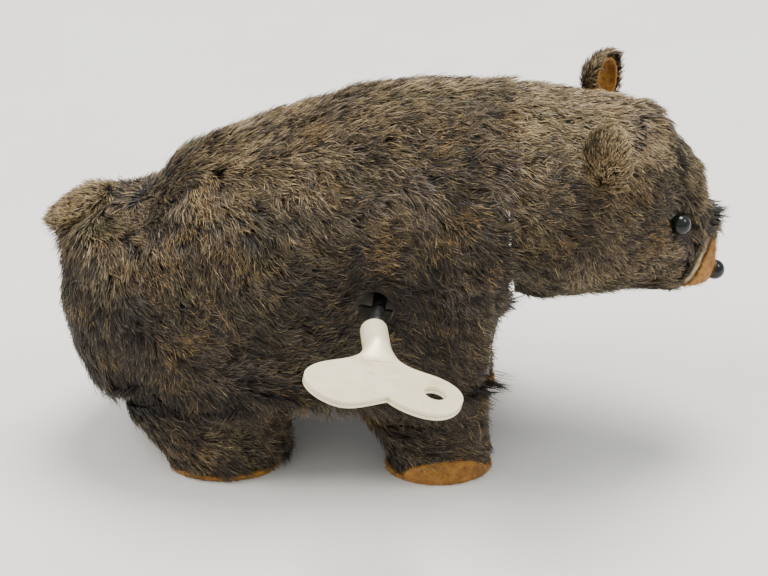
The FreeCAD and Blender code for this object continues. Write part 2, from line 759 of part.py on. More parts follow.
def escape_centre(doc):
    module = size(doc, "crank_gear_module")
    reach = module * (size(doc, "crank_gear_teeth") + size(doc, "escape_pinion_teeth")) / 2
    angle = math.radians(size(doc, "escape_angle"))
    return size(doc, "crank_x") + reach * math.cos(angle), size(doc, "crank_z") + reach * math.sin(angle)


def mesh_turn(from_x, from_z, to_x, to_z):
    """The turn about Y that points a wheel's first tooth from one centre at another."""
    return -math.degrees(math.atan2(to_z - from_z, to_x - from_x))


def make_winder(doc):
    x, z = size(doc, "key_axis_x"), size(doc, "key_axis_z")
    ends = ("-Sizes.arbor_out", "Sizes.arbor_in")
    arbor = rod(doc, "winding_arbor", "Sizes.arbor_radius", *ends, "Sizes.key_axis_x", "Sizes.key_axis_z")
    ratchet_points = star_points(
        int(size(doc, "ratchet_teeth")), size(doc, "ratchet_tip"), size(doc, "ratchet_root"), 0.12
    )
    bore = size(doc, "arbor_radius") + size(doc, "snug")
    ratchet = wheel(doc, "ratchet_wheel", ratchet_points, x, z, -5.9, 0.8, bore)
    return [make_key(doc), arbor, ratchet]


def wing_face(doc):
    """The key's wings seen along its flat: two lobes that meet in a notch, one with an eye."""
    start = size(doc, "wing_start")
    edges = []
    for points in KEY_WINGS:
        curve = Part.BSplineCurve()
        curve.interpolate([V(x, -start - reach, 0) for x, reach in points])
        edges.append(curve.toShape())
    root = KEY_WINGS[0][0][0]
    corners = [V(-root, -start, 0), V(1 - root, 4 - start, 0), V(root - 1, 4 - start, 0), V(root, -start, 0)]
    edges += [Part.LineSegment(a, b).toShape() for a, b in zip(corners, corners[1:])]
    face = Part.Face(Part.Wire(Part.__sortEdges__(edges)))
    centre = V(size(doc, "key_eye_x"), -start - size(doc, "key_eye_reach"), 0)
    eye = Part.Circle(centre, V(0, 0, 1), size(doc, "key_eye_radius")).toShape()
    return face.cut(Part.Face(Part.Wire(eye)))


def make_key(doc):
    """One sheet folded double: two layers with a seam between them, rolled into a barrel at the root."""
    layer, gap = size(doc, "layer_thickness"), size(doc, "layer_gap")
    upper = wing_face(doc).extrude(V(0, 0, layer))
    upper.translate(V(0, 0, gap / 2))
    lower = wing_face(doc).extrude(V(0, 0, layer))
    lower.translate(V(0, 0, -gap / 2 - layer))
    radius, start, stop = size(doc, "barrel_radius"), size(doc, "barrel_start"), size(doc, "barrel_end")
    barrel = Part.makeCylinder(radius, stop - start, V(0, -start, 0), V(0, -1, 0))
    rings = [flare_ring(stop, radius, radius)]
    rings += [flare_ring(stop + past, half_x, half_z) for past, half_x, half_z in KEY_FLARE]
    flare = Part.makeLoft(rings, True, False)
    depth = size(doc, "arbor_out") - start + 1.0
    bore = Part.makeCylinder(size(doc, "key_bore_radius"), depth, V(0, -start, 0), V(0, -1, 0))
    key = barrel.fuse([flare, upper, lower]).cut(bore)
    key.rotate(V(), V(0, 1, 0), size(doc, "key_tilt"))
    key.rotate(V(0, size(doc, "key_pivot_y"), 0), V(0, 0, 1), size(doc, "key_lean"))
    key.translate(V(size(doc, "key_axis_x"), 0, size(doc, "key_axis_z")))
    return feature(doc, "winding_key", key)


def flare_ring(reach, half_x, half_z):
    circle = Part.Circle(V(), V(0, 1, 0), 1.0).toShape()
    matrix = FreeCAD.Matrix()
    matrix.scale(V(half_x, 1, half_z))
    return Part.Wire(circle.transformGeometry(matrix).translated(V(0, -reach, 0)))


def make_main_gear(doc):
    x, z = size(doc, "key_axis_x"), size(doc, "key_axis_z")
    module, teeth = size(doc, "wheel_module"), int(size(doc, "main_teeth"))
    points = gear_points(teeth, module, 0.6, 1.15, 0.16)
    solid = xz_prism(xz_polygon(points), -7.6, -6.6)
    solid.rotate(V(), V(0, 1, 0), mesh_turn(x, z, size(doc, "crank_x"), size(doc, "crank_z")))
    solid.translate(V(x, 0, z))
    click_x, click_z = size(doc, "click_x"), size(doc, "click_z")
    rivet = drill(click_x, click_z, size(doc, "rivet_radius"), -7.6, -4.6)
    solid = solid.cut(drill(x, z, size(doc, "arbor_radius") + size(doc, "running"))).fuse(rivet)
    return [feature(doc, "main_gear", solid.removeSplitter()), make_click(doc), make_click_spring(doc)]


def make_click(doc):
    """The pawl on the main gear that lets the ratchet pass while it is wound."""
    x, z = size(doc, "click_x"), size(doc, "click_z")
    outline = xz_polygon([(x + 1.5, z - 1.3), (x + 1.4, z + 1.2), (x - 0.6, z + 6.3), (x - 3.6, z + 7.0),
                          (x - 1.5, z + 4.2), (x - 1.2, z - 0.6)])
    body = xz_prism(outline, -5.9, -5.1)
    bore = drill(x, z, size(doc, "rivet_radius") + size(doc, "running"))
    return feature(doc, "click", body.cut(bore))


def make_click_spring(doc):
    """A turn of spring wire round the rivet's head."""
    ring = Part.makeTorus(1.0, 0.18, V(size(doc, "click_x"), -4.82, size(doc, "click_z")), V(0, 1, 0))
    return feature(doc, "click_spring", ring)


def make_mainspring(doc):
    """A flat coiled strip round the arbor."""
    inner, outer = size(doc, "spring_inner"), size(doc, "spring_outer")
    turns, strip = size(doc, "spring_turns"), size(doc, "spring_strip")
    steps = int(turns * 14)
    edges, ends = [], []
    for offset in (-strip / 2, strip / 2):
        points = []
        for step in range(steps + 1):
            angle = 2 * math.pi * turns * step / steps
            radius = inner + (outer - inner) * step / steps + offset
            points.append(V(radius * math.cos(angle), 0, radius * math.sin(angle)))
        curve = Part.BSplineCurve()
        curve.interpolate(points)
        edges.append(curve.toShape())
        ends.append((points[0], points[-1]))
    edges += [Part.LineSegment(ends[0][i], ends[1][i]).toShape() for i in (0, 1)]
    face = Part.Face(Part.Wire(Part.__sortEdges__(edges)))
    strip_solid = face.extrude(V(0, 7.4, 0))
    strip_solid.translate(V(size(doc, "key_axis_x"), -3.9, size(doc, "key_axis_z")))
    return [feature(doc, "mainspring", strip_solid)]


def make_crank(doc):
    """The crank axle with its pinion, the governor's gear, the head's cam and the two cranks."""
    x, z = size(doc, "crank_x"), size(doc, "crank_z")
    radius = size(doc, "crank_axle_radius") + size(doc, "snug")
    ends = ("-Sizes.crank_axle_half", "Sizes.crank_axle_half")
    axle = rod(doc, "crank_axle", "Sizes.crank_axle_radius", *ends, "Sizes.crank_x", "Sizes.crank_z")
    teeth = int(size(doc, "crank_teeth"))
    facing = mesh_turn(x, z, size(doc, "key_axis_x"), size(doc, "key_axis_z"))
    points = gear_points(teeth, size(doc, "wheel_module"), 0.9, 0.9, 0.16)
    pinion = wheel(doc, "crank_pinion", points, x, z, -8.4, 2.6, radius, facing + 180 / teeth)
    escape_x, escape_z = escape_centre(doc)
    gear_teeth = int(size(doc, "crank_gear_teeth"))
    points = gear_points(gear_teeth, size(doc, "crank_gear_module"), 0.6, 1.15, 0.14)
    gear = wheel(doc, "crank_gear", points, x, z, 6.5, 1.0, radius, mesh_turn(x, z, escape_x, escape_z))
    cam = drill(x, z + 1.2, 3.0, 4.6, 5.4).cut(drill(x, z, radius))
    made = [axle, pinion, gear, feature(doc, "nod_cam", cam)]
    for side, sign in SIDES.items():
        made.append(make_crank_disc(doc, side, sign))
    return made


def make_crank_disc(doc, side, sign):
    """A disc pressed on the axle's end, with a pin that drives the two levers of its side."""
    at_z = "Sizes.crank_z"
    far = size(doc, "crank_axle_half")
    near = far - size(doc, "crank_disc_thickness")
    spans = {"disc": (near, far), "bore": (near - 1, far + 1), "pin": (far - 0.2, far + 1.6)}
    limits = {}
    for key, (low, high) in spans.items():
        limits[key] = (str(low), str(high)) if sign > 0 else (str(-high), str(-low))
    disc = rod(doc, f"{side}_crank_disc", "Sizes.crank_disc_radius", *limits["disc"], "Sizes.crank_x", at_z)
    bore = rod(doc, f"{side}_crank_bore", "Sizes.crank_axle_radius + Sizes.snug", *limits["bore"],
               "Sizes.crank_x", at_z)
    throw = f"Sizes.crank_x {'-' if sign > 0 else '+'} Sizes.crank_throw"
    pin = rod(doc, f"{side}_crank_pin", "Sizes.crank_pin_radius", *limits["pin"], throw, at_z)
    bored = combine(doc, "Part::Cut", f"{side}_crank_bored", disc, bore)
    return combine(doc, "Part::MultiFuse", f"{side}_crank", bored, pin)


def make_governor(doc):
    """The escape wheel that the crank gear spins, and the rocking pallet that slows it."""
    x, z = escape_centre(doc)
    radius = size(doc, "escape_arbor_radius") + size(doc, "snug")
    ends = ("-Sizes.escape_arbor_half", "Sizes.escape_arbor_half")
    shaft = rod(doc, "escape_shaft", "Sizes.escape_arbor_radius", *ends, str(x), str(z))
    teeth = int(size(doc, "escape_pinion_teeth"))
    points = gear_points(teeth, size(doc, "crank_gear_module"), 0.9, 0.9, 0.14)
    facing = mesh_turn(x, z, size(doc, "crank_x"), size(doc, "crank_z"))
    pinion = wheel(doc, "escape_pinion", points, x, z, 6.0, 2.2, radius / 2, facing + 180 / teeth)
    arbor = combine(doc, "Part::MultiFuse", "escape_arbor", shaft, pinion)
    tip = size(doc, "escape_wheel_radius")
    points = star_points(int(size(doc, "escape_wheel_teeth")), tip, tip - 2.0, 0.4)
    escape = wheel(doc, "escape_wheel", points, x, z, size(doc, "escape_wheel_y"), 0.7, radius)
    return [arbor, escape] + make_pallet(doc, x, z)


def make_pallet(doc, wheel_x, wheel_z):
    x, z = size(doc, "pallet_x"), size(doc, "pallet_z")
    radius = size(doc, "escape_arbor_radius")
    ends = ("-Sizes.escape_arbor_half", "Sizes.escape_arbor_half")
    arbor = rod(doc, "pallet_arbor", "Sizes.escape_arbor_radius", *ends, "Sizes.pallet_x", "Sizes.pallet_z")
    clear = size(doc, "escape_wheel_radius") + 0.7
    facing = math.atan2(z - wheel_z, x - wheel_x)
    low = size(doc, "escape_wheel_y")
    high = low + 0.7
    ring = drill(wheel_x, wheel_z, clear + 1.1, low, high).cut(drill(wheel_x, wheel_z, clear))
    reach = 2 * clear
    corners = [(wheel_x, wheel_z)] + [
        (wheel_x + reach * math.cos(facing + turn), wheel_z + reach * math.sin(facing + turn))
        for turn in (-0.85, 0.0, 0.85)
    ]
    anchor = ring.common(xz_prism(xz_polygon(corners), 0, 3))
    anchor = anchor.fuse(drill(x, z, 2.0, low, high)).cut(drill(x, z, radius + size(doc, "snug")))
    return [arbor, feature(doc, "pallet", anchor.removeSplitter())]


# ---------------------------------------------------------------- neck


def make_neck(doc):
    x, z = size(doc, "neck_pin_x"), size(doc, "neck_pin_z")
    pin = rod(doc, "neck_pin", "Sizes.neck_pin_radius", "-9.6", "9.6", "Sizes.neck_pin_x", "Sizes.neck_pin_z")
    inside = body_skin(layers(doc)[2] + 0.1)
    lugs = []
    for low in (8.0, -8.8):
        lug = xz_prism(xz_polygon([(18, 96), (28, 96), (28, 78), (25, 77.6), (18, 84)]), low, low + 0.8)
        lug = lug.common(inside).cut(drill(x, z, size(doc, "neck_pin_radius") + size(doc, "snug")))
        lugs.append(lug.Solids[0])
    return [pin, feature(doc, "neck_lugs", Part.makeCompound(lugs))]


def make_head_bracket(doc):
    """A tin yoke in the head: a cross plate and two ears that turn on the neck pin."""
    x, z = size(doc, "neck_pin_x"), size(doc, "neck_pin_z")
    bore = drill(x, z, size(doc, "neck_pin_radius") + size(doc, "running"))
    inside = head_skin(layers(doc)[2] + 0.1)
    cross = Part.makeBox(0.8, 2 * LARGE, 14, V(40, -LARGE, 70)).common(inside)
    ears = [xz_prism(bar_curves(x, z, 38.5, z - 3, 2.4), low, low + 0.8) for low in (6.8, -7.6)]
    ears += [Part.makeBox(4, 0.8, 4.6, V(36.4, low, z - 5.3)) for low in (6.8, -7.6)]
    bracket = cross.fuse(ears).cut(bore).removeSplitter()
    return [feature(doc, "head_bracket", bracket), make_nod_lever(doc, bore)]


def make_nod_lever(doc, bore):
    """The flat lever from the head's yoke round the mainspring to a foot under the nod cam."""
    crank_x = size(doc, "crank_x")
    route = [(39.9, 77.0), (26.5, 80.0), (22.0, 70.0), (15.5, 58.0), (5.5, 46.0), (-3.0, 39.0),
             (crank_x + 6.5, 38.0), (crank_x - 4.0, 38.0)]
    low, high = 4.6, 5.4
    half_width = 1.5
    bars = [xz_prism(bar_curves(*a, *b, half_width), low, high) for a, b in zip(route, route[1:])]
    hub = drill(*route[1], 2.4, low, high)
    lever = bars[0].fuse(bars[1:] + [hub]).cut(bore)
    above = Part.makeBox(12.5, 2, 3, V(crank_x - 6.0, 4, 38.95))
    front = Part.makeBox(5, 2, 8, V(39.9, 4, 73))
    return feature(doc, "nod_lever", lever.cut([above, front]).removeSplitter())


# ---------------------------------------------------------------- build, check and write


def check(doc, pieces):
    for thing in doc.Objects:
        if "Invalid" in thing.State or "Error" in thing.State:
            raise RuntimeError(f"{thing.Label} failed: {thing.State}")
    for piece in pieces:
        shape = piece.Shape
        if shape.isNull() or not shape.isValid() or not shape.Solids:
            raise RuntimeError(f"{piece.Label} has no valid solid")


def build():
    doc = FreeCAD.newDocument("walking_bear")
    make_sheet(doc)
    pieces = make_body_skins(doc) + make_tail(doc) + make_head(doc)
    for end in ("front", "rear"):
        for side in SIDES:
            pieces += make_leg(doc, end, side)
    pieces += make_hips(doc) + make_frame(doc) + make_winder(doc) + make_main_gear(doc) + make_mainspring(doc)
    pieces += make_crank(doc) + make_governor(doc) + make_neck(doc) + make_head_bracket(doc)
    doc.recompute()
    check(doc, pieces)
    return pieces


def sole_centre(doc):
    """The middle of the right front sole's underside, where the toy's origin goes."""
    ahead = LEG_STATIONS["front"][0][1]
    return V(size(doc, "front_hip_x") + ahead, SIDES["right"] * size(doc, "leg_mid_y"), 0)


def write(pieces):
    os.makedirs("parts", exist_ok=True)
    origin = sole_centre(pieces[0].Document)
    for piece in pieces:
        shape = piece.Shape.translated(origin * -1)
        shape.exportStep(f"parts/{piece.Label}.step")
        print(f"{piece.Label}: {len(shape.Solids)} solid(s), {shape.Volume:.1f} mm3")


write(build())
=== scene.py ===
import json
import math

import bpy
import numpy as np
from mathutils import Matrix, Vector, noise
from mathutils.kdtree import KDTree


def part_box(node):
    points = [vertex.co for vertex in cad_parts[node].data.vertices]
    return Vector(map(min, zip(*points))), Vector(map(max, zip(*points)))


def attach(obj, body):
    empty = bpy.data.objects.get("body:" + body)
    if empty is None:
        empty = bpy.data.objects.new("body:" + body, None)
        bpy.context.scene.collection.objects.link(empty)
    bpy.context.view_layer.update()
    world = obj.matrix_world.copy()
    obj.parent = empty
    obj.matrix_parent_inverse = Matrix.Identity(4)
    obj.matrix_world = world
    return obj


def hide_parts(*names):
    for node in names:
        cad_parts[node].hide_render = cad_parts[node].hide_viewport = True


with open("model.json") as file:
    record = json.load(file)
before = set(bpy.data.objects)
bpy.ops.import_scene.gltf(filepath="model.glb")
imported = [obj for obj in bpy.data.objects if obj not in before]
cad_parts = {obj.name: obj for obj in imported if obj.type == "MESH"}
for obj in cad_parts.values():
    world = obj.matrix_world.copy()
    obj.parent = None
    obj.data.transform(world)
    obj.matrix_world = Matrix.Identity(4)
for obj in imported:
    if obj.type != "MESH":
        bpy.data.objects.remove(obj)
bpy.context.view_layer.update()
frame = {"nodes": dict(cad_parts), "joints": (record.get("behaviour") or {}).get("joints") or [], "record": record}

# A clockwork walking bear. The CAD frame holds its tin shells, its motor and its joints; this script dresses
# it: cloth skins with a pile of separate strands, felt on the face, ears and feet, and worn metal.
# Lengths are in metres; MM turns a length in millimetres into metres.

MM = 0.001
RANDOM = np.random.default_rng(1927)
SIDES = {"left": 1, "right": -1}
LEGS = [f"{end}_{side}_leg" for end in ("front", "rear") for side in SIDES]

# Places on the bear are given in millimetres from a point of the floor on its mid-plane. The neck pin is 26.5
# ahead of that point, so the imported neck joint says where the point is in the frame.
NECK_PIN = next(joint for joint in frame["joints"] if joint["name"] == "head_nod")["pos_m"]
ZERO = Vector((NECK_PIN[0] - 26.5 * MM, NECK_PIN[1], 0.0))


def at(x, y, z):
    """A place on the bear, in the frame's metres."""
    return ZERO + Vector((x, y, z)) * MM


def bear(points):
    """Points of the frame as places on the bear, in millimetres."""
    return (points - np.array(ZERO)) / MM


# ---------------------------------------------------------------- camera, floor and light

CAMERA_AIM = at(-1.2, 0.0, 38.5)
CAMERA_DISTANCE = 480 * MM
CAMERA_YAW = 5.0
CAMERA_RISE = 30.0
CAMERA_ROLL = 2.2
CAMERA_LENS = 92.2


def add(name, data):
    thing = bpy.data.objects.new(name, data)
    bpy.context.scene.collection.objects.link(thing)
    return thing


def from_target(target, azimuth, rise, distance):
    """A point at a distance from target. Azimuth 0 is towards -Y and 90 towards +X."""
    a, e = math.radians(azimuth), math.radians(rise)
    return target + Vector((math.sin(a) * math.cos(e), -math.cos(a) * math.cos(e), math.sin(e))) * distance


def make_camera():
    data = bpy.data.cameras.new("camera")
    data.lens = CAMERA_LENS
    camera = add("camera", data)
    camera.location = from_target(CAMERA_AIM, CAMERA_YAW, CAMERA_RISE, CAMERA_DISTANCE)
    facing = (camera.location - CAMERA_AIM).to_track_quat("Z", "Y").to_matrix()
    camera.rotation_euler = (facing @ Matrix.Rotation(-math.radians(CAMERA_ROLL), 3, "Z")).to_euler()
    bpy.context.scene.camera = camera


def area_light(name, azimuth, rise, distance, size, power, colour):
    data = bpy.data.lights.new(name, "AREA")
    data.shape = "DISK"
    data.size = size
    data.energy = power
    data.color = colour
    lamp = add(name, data)
    lamp.location = from_target(CAMERA_AIM, azimuth, rise, distance)
    lamp.rotation_euler = (lamp.location - CAMERA_AIM).to_track_quat("Z", "Y").to_euler()


def make_light():
    world = bpy.data.worlds.new("studio")
    world.use_nodes = True
    sky = world.node_tree.nodes["Background"]
    sky.inputs["Color"].default_value = (0.93, 0.96, 1.0, 1.0)
    sky.inputs["Strength"].default_value = 0.88
    bpy.context.scene.world = world
    area_light("top_light", 160, 74, 0.95, 0.50, 13.5, (1.0, 0.98, 0.94))
    area_light("left_light", -75, 52, 0.95, 0.42, 5.6, (1.0, 0.97, 0.93))
    area_light("right_light", 80, 46, 0.95, 0.42, 3.0, (0.97, 0.98, 1.0))


def make_floor():
    bpy.ops.mesh.primitive_plane_add(size=6.0, location=(0, 0, -0.02 * MM))
    floor = bpy.context.object
    floor.name = "table_top"
    mat = material("table", {"Roughness": 0.62, "Specular IOR Level": 0.25})
    ramp_colour(mat, scale=9.0, stops=[(0.3, (226, 223, 216)), (0.7, (234, 232, 226))], detail=4.0)
    floor.data.materials.append(mat)


# ---------------------------------------------------------------- materials


def linear(rgb):
    """An sRGB colour of 0 to 255 as the linear RGBA that a shader takes."""
    return [((c / 255) / 12.92 if c <= 10 else ((c / 255 + 0.055) / 1.055) ** 2.4) for c in rgb] + [1.0]


def material(name, values):
    mat = bpy.data.materials.new(name)
    mat.use_nodes = True
    shader = mat.node_tree.nodes["Principled BSDF"]
    for socket, value in values.items():
        shader.inputs[socket].default_value = linear(value) if socket == "Base Color" else value
    return mat


def noise_node(mat, scale, detail=5.0, roughness=0.6, stretch=(1, 1, 1)):
    """Noise in the piece's own space; scale is in cycles to the metre times stretch."""
    nodes, links = mat.node_tree.nodes, mat.node_tree.links
    place = nodes.new("ShaderNodeTexCoord")
    mapping = nodes.new("ShaderNodeMapping")
    mapping.inputs["Scale"].default_value = stretch
    texture = nodes.new("ShaderNodeTexNoise")
    texture.inputs["Scale"].default_value = scale
    texture.inputs["Detail"].default_value = detail
    texture.inputs["Roughness"].default_value = roughness
    links.new(place.outputs["Object"], mapping.inputs["Vector"])
    links.new(mapping.outputs["Vector"], texture.inputs["Vector"])
    return texture


def ramp_node(mat, source, stops):
    nodes, links = mat.node_tree.nodes, mat.node_tree.links
    ramp = nodes.new("ShaderNodeValToRGB")
    band = ramp.color_ramp
    while len(band.elements) < len(stops):
        band.elements.new(0.5)
    for element, (position, rgb) in zip(band.elements, stops):
        element.position = position
        element.color = linear(rgb)
    links.new(source, ramp.inputs["Fac"])
    return ramp


def ramp_colour(mat, scale, stops, detail=5.0, stretch=(1, 1, 1)):
    """Base colour from a noise read through a ramp. Returns the ramp's colour output."""
    texture = noise_node(mat, scale, detail, stretch=stretch)
    ramp = ramp_node(mat, texture.outputs["Fac"], stops)
    shader = mat.node_tree.nodes["Principled BSDF"]
    mat.node_tree.links.new(ramp.outputs["Color"], shader.inputs["Base Color"])
    return ramp.outputs["Color"]


def blotch(mat, base, scale, low, high, rgb, strength, stretch=(1, 1, 1)):
    """Mixes a second colour over base where another noise is high, and sends the mix to the shader."""
    nodes, links = mat.node_tree.nodes, mat.node_tree.links
    texture = noise_node(mat, scale, 4.0, stretch=stretch)
    mask = ramp_node(mat, texture.outputs["Fac"], [(low, (0, 0, 0)), (high, (255, 255, 255))])
    share = nodes.new("ShaderNodeMath")
    share.operation = "MULTIPLY"
    share.inputs[1].default_value = strength
    mix = nodes.new("ShaderNodeMix")
    mix.data_type = "RGBA"
    mix.inputs["B"].default_value = linear(rgb)
    links.new(mask.outputs["Color"], share.inputs[0])
    links.new(share.outputs["Value"], mix.inputs["Factor"])
    links.new(base, mix.inputs["A"])
    links.new(mix.outputs["Result"], nodes["Principled BSDF"].inputs["Base Color"])
    return mix.outputs["Result"]


def bump(mat, scale, strength, distance, detail=4.0, stretch=(1, 1, 1)):
    nodes, links = mat.node_tree.nodes, mat.node_tree.links
    texture = noise_node(mat, scale, detail, stretch=stretch)
    relief = nodes.new("ShaderNodeBump")
    relief.inputs["Strength"].default_value = strength
    relief.inputs["Distance"].default_value = distance
    links.new(texture.outputs["Fac"], relief.inputs["Height"])
    links.new(relief.outputs["Normal"], nodes["Principled BSDF"].inputs["Normal"])


def rough(mat, scale, low, high, stretch=(1, 1, 1)):
    nodes, links = mat.node_tree.nodes, mat.node_tree.links
    texture = noise_node(mat, scale, 5.0, stretch=stretch)
    spread = nodes.new("ShaderNodeMapRange")
    spread.inputs["From Min"].default_value, spread.inputs["From Max"].default_value = 0.3, 0.7
    spread.inputs["To Min"].default_value, spread.inputs["To Max"].default_value = low, high
    links.new(texture.outputs["Fac"], spread.inputs["Value"])
    links.new(spread.outputs["Result"], nodes["Principled BSDF"].inputs["Roughness"])


def make_cloth():
    """The backing that the pile grows from."""
    mat = material("fur_backing", {"Specular IOR Level": 0.15, "Sheen Weight": 0.2})
    ramp_colour(mat, 900.0, [(0.35, (30, 24, 19)), (0.65, (50, 40, 31))])
    rough(mat, 300.0, 0.8, 1.0)
    bump(mat, 2500.0, 0.6, 0.2 * MM)
    return mat


def make_felt(name, light, dark, stain):
    mat = material(name, {"Specular IOR Level": 0.2, "Sheen Weight": 0.12, "Sheen Roughness": 0.6})
    base = ramp_colour(mat, 420.0, [(0.3, dark), (0.72, light)], detail=9.0)
    blotch(mat, base, 130.0, 0.5, 0.72, stain, 0.55)
    rough(mat, 500.0, 0.82, 1.0)
    bump(mat, 2200.0, 0.9, 0.25 * MM, detail=6.0)
    return mat


def make_metal(name, light, dark, spot, roughness, grain=(1, 1, 1)):
    """Bare or plated metal with mottling, spots and fine scratches along one way."""
    mat = material(name, {"Metallic": 1.0})
    base = ramp_colour(mat, 160.0, [(0.3, dark), (0.68, light)], stretch=grain)
    blotch(mat, base, 700.0, 0.6, 0.75, spot, 0.5)
    rough(mat, 420.0, *roughness, stretch=grain)
    bump(mat, 1500.0, 0.12, 0.05 * MM, stretch=grain)
    return mat


def make_key_finish():
    """Cream nickel plating, satin, thinly yellowed and speckled."""
    mat = material("key_nickel", {"Metallic": 0.25, "Specular IOR Level": 0.5, "Coat Weight": 0.15,
                                  "Coat Roughness": 0.35})
    base = ramp_colour(mat, 90.0, [(0.3, (238, 226, 184)), (0.7, (250, 241, 206))], detail=8.0)
    base = blotch(mat, base, 1400.0, 0.64, 0.74, (150, 138, 112), 0.55)
    blotch(mat, base, 210.0, 0.55, 0.8, (196, 178, 138), 0.5)
    rough(mat, 260.0, 0.3, 0.48, stretch=(1, 4, 1))
    bump(mat, 900.0, 0.08, 0.05 * MM, stretch=(4, 1, 1))
    return mat


def make_glass(name, rgb, tint):
    """Nearly black glass whose body colour shifts a little inside."""
    mat = material(name, {"Roughness": 0.12, "Specular IOR Level": 0.35})
    ramp_colour(mat, 500.0, [(0.35, rgb), (0.7, tint)])
    bump(mat, 400.0, 0.05, 0.05 * MM)
    return mat


def paint(node, mat):
    """Gives every material slot of a CAD node one material."""
    thing = frame["nodes"][node]
    for slot in thing.material_slots:
        slot.link = "OBJECT"
        slot.material = mat


# ---------------------------------------------------------------- surfaces read from the CAD frame


def corners(node):
    """A CAD node's triangles as an array of three corners each."""
    mesh = frame["nodes"][node].data
    mesh.calc_loop_triangles()
    points = np.empty(len(mesh.vertices) * 3)
    mesh.vertices.foreach_get("co", points)
    index = np.empty(len(mesh.loop_triangles) * 3, int)
    mesh.loop_triangles.foreach_get("vertices", index)
    return points.reshape(-1, 3)[index].reshape(-1, 3, 3)


def unit(vectors):
    return vectors / np.maximum(np.linalg.norm(vectors, axis=-1, keepdims=True), 1e-12)


def outside(node, start, end, least=0.2):
    """The triangles of a node that look away from its spine, the line from start to end, by least or more."""
    triangles = corners(node)
    normals = np.cross(triangles[:, 1] - triangles[:, 0], triangles[:, 2] - triangles[:, 0])
    centres = triangles.mean(axis=1)
    start, end = np.array(start), np.array(end)
    along = np.clip(((centres - start) @ (end - start)) / max((end - start) @ (end - start), 1e-12), 0, 1)
    out = unit(centres - (start + along[:, None] * (end - start)))
    return triangles[(unit(normals) * out).sum(axis=1) > least]


def scatter(triangles, count):
    """count points spread evenly over triangles, with the surface's way out at each."""
    cross = np.cross(triangles[:, 1] - triangles[:, 0], triangles[:, 2] - triangles[:, 0])
    area = np.linalg.norm(cross, axis=1)
    chosen = RANDOM.choice(len(triangles), count, p=area / area.sum())
    u, v = RANDOM.random((2, count, 1))
    u, v = np.where(u + v > 1, 1 - u, u), np.where(u + v > 1, 1 - v, v)
    a, b, c = triangles[chosen].transpose(1, 0, 2)
    return a + u * (b - a) + v * (c - a), unit(cross[chosen])


def area_of(triangles):
    cross = np.cross(triangles[:, 1] - triangles[:, 0], triangles[:, 2] - triangles[:, 0])
    return float(np.linalg.norm(cross, axis=1).sum() / 2)


def make_skin(name, triangles, sunk, mat):
    """The cloth under the pile: the outer faces welded into one sheet and sunk below the fur's outside."""
    flat = np.round(triangles.reshape(-1, 3), 7)
    points, index = np.unique(flat, axis=0, return_inverse=True)
    faces = [f for f in index.reshape(-1, 3).tolist() if len(set(f)) == 3]
    mesh = bpy.data.meshes.new(name)
    mesh.from_pydata(points.tolist(), [], faces)
    mesh.update()
    normals = np.empty(len(mesh.vertices) * 3)
    mesh.vertices.foreach_get("normal", normals)
    mesh.vertices.foreach_set("co", (points - normals.reshape(-1, 3) * sunk).ravel())
    mesh.polygons.foreach_set("use_smooth", [True] * len(mesh.polygons))
    mesh.update()
    mesh.materials.append(mat)
    return add(name, mesh)


# ---------------------------------------------------------------- pile

PILE_SUNK = 2.0 * MM
FLOOR_CLEAR = 0.25 * MM
MOST_STRANDS = 38000

# Strands of the large skins grow only where the surface faces outward by this much, not on its cut edges.
ROOTED = 0.4

# A strand shorter than this share of the full length is left out.
LEAST_SCALE = 0.08

# How many strands lean into one tuft, and how far their tips go towards it.
TUFT_STRANDS = 12
TUFT_PULL = 0.4

# The shade at an even brightness, counted from the darkest, and how many shades a step of brightness is.
MIDDLE_SHADE = 2.6
SHADES_A_STEP = 1.7

# Tones of a strand, as sRGB. Roots are dark; the rest run from dark to light, then the tints.
ROOTS = [(20, 16, 12), (30, 24, 18)]
SHADES = [(44, 35, 26), (60, 49, 36), (82, 68, 49), (112, 94, 66), (148, 126, 90), (190, 166, 124)]
TINTS = {"gold": (146, 116, 70), "lilac": (116, 102, 90), "olive": (102, 96, 66)}


def make_tones():
    names = [f"pile_root_{i}" for i in range(len(ROOTS))] + [f"pile_shade_{i}" for i in range(len(SHADES))]
    names += [f"pile_{tint}" for tint in TINTS]
    return [
        material(name, {"Base Color": rgb, "Roughness": 0.5, "Specular IOR Level": 0.35})
        for name, rgb in zip(names, ROOTS + SHADES + list(TINTS.values()))
    ]


def field(points, scale, seed):
    """Smooth noise about 0 at each point; scale is the size of its patches in metres."""
    shift = Vector((seed * 17.3, seed * 5.1, seed * 9.7))
    return np.array([noise.noise(Vector(p) / scale + shift) for p in points])


def choose_tones(points, brightness):
    """Each strand's three material numbers, from root to tip."""
    count = len(points)
    first_shade, last_shade = len(ROOTS), len(ROOTS) + len(SHADES) - 1
    level = brightness + 0.9 * field(points, 16 * MM, 3) + 0.8 * field(points, 4 * MM, 4)
    level += RANDOM.normal(0, 0.55, count)
    shade = np.round(first_shade + MIDDLE_SHADE + level * SHADES_A_STEP)
    tip = np.clip(shade, first_shade, last_shade).astype(int)
    middle = np.clip(tip - RANDOM.integers(1, 3, count), first_shade - 1, last_shade)
    root = RANDOM.integers(0, len(ROOTS), count)
    for number, seed in enumerate((5, 6, 7), start=last_shade + 1):
        patch = field(points, 9 * MM, seed) + RANDOM.normal(0, 0.18, count)
        tip = np.where((patch > 0.34) & (tip > first_shade + 1), number, tip)
    return np.stack([root, middle, tip], axis=1)


